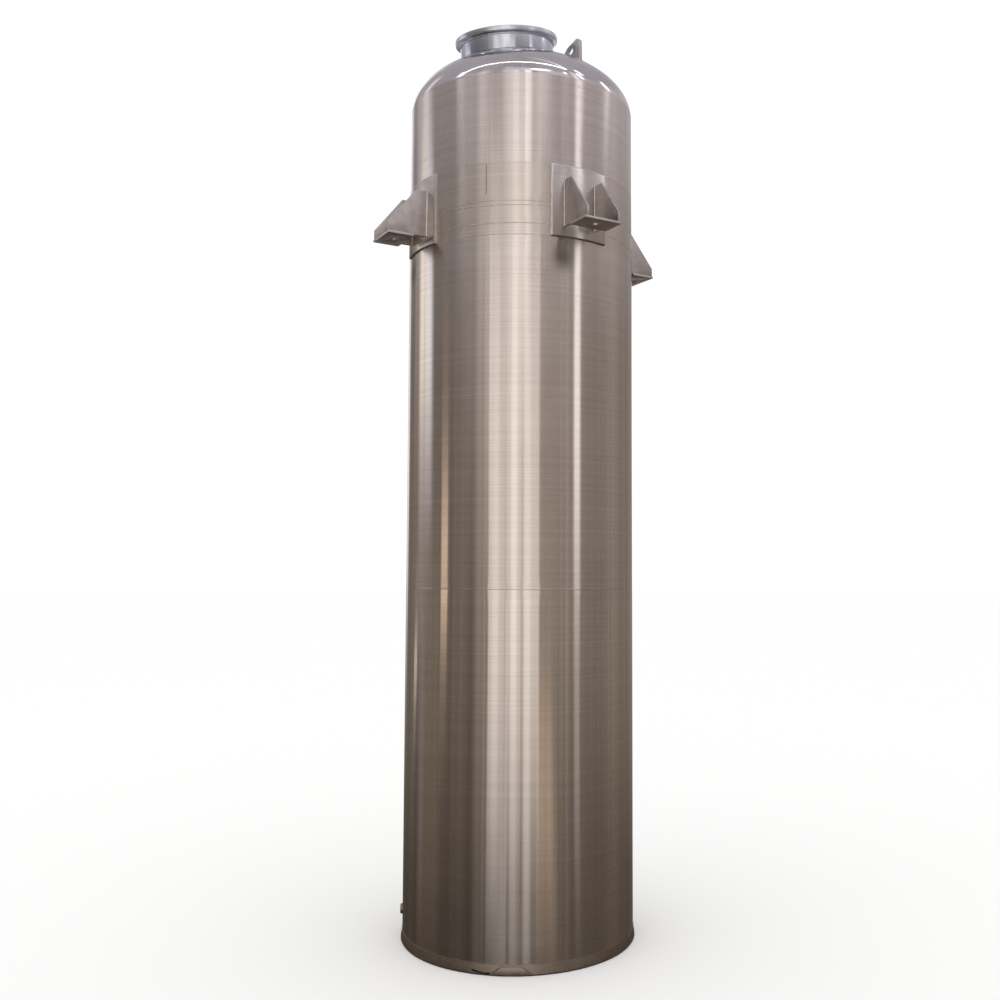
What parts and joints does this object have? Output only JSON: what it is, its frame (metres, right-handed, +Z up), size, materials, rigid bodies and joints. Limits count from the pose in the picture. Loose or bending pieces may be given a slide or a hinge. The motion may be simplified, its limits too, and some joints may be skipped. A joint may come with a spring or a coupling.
{
  "type": "vertical storage tank",
  "caption": "Tall upright stainless steel tank with a dished top head, a leaning open manway neck, bracket supports near the top and a foot ring.",
  "frame": {"origin": "on the shell's axis, at the underside of the foot ring", "axes": "+Z up along the shell's axis; -Y to the front, where the picture was taken from; +X to the viewer's right"},
  "size_m": [1.2568, 1.2568, 3.951],
  "materials": {
    "brushed_shell": "fine horizontal brushing",
    "ground_belt": "duller band ground over its welds",
    "foot_ring": "satin, a little scuffed",
    "polished_head": "mirror polished",
    "polished_neck": "bright polished",
    "bracket_plate": "satin plate with cut edges",
    "bracket_foot": "dull plate"
  },
  "bodies": {
    "root": {"base_ring": "foot_ring", "ring_joint_plate": "foot_ring", "ground_boss": "brushed_shell", "lower_shell_course": "brushed_shell", "middle_shell_course": "brushed_shell", "lug_belt": "ground_belt", "upper_shell_course": "brushed_shell", "top_head": "polished_head", "neck": "polished_neck", "neck_flange": "polished_neck", "lifting_lug_right": "bracket_plate", "lifting_lug_left": "bracket_plate", "front_right_bracket_pad": "bracket_plate", "front_right_bracket_left_rib": "bracket_plate", "front_right_bracket_right_rib": "bracket_plate", "front_right_bracket_foot": "bracket_foot", "back_right_bracket_pad": "bracket_plate", "back_right_bracket_left_rib": "bracket_plate", "back_right_bracket_right_rib": "bracket_plate", "back_right_bracket_foot": "bracket_foot", "back_left_bracket_pad": "bracket_plate", "back_left_bracket_left_rib": "bracket_plate", "back_left_bracket_right_rib": "bracket_plate", "back_left_bracket_foot": "bracket_foot", "front_left_bracket_pad": "bracket_plate", "front_left_bracket_left_rib": "bracket_plate", "front_left_bracket_right_rib": "bracket_plate", "front_left_bracket_foot": "bracket_foot", "bottom_head": "brushed_shell", "outlet_pipe": "brushed_shell", "outlet_ferrule": "polished_neck"}
  },
  "joints": []
}
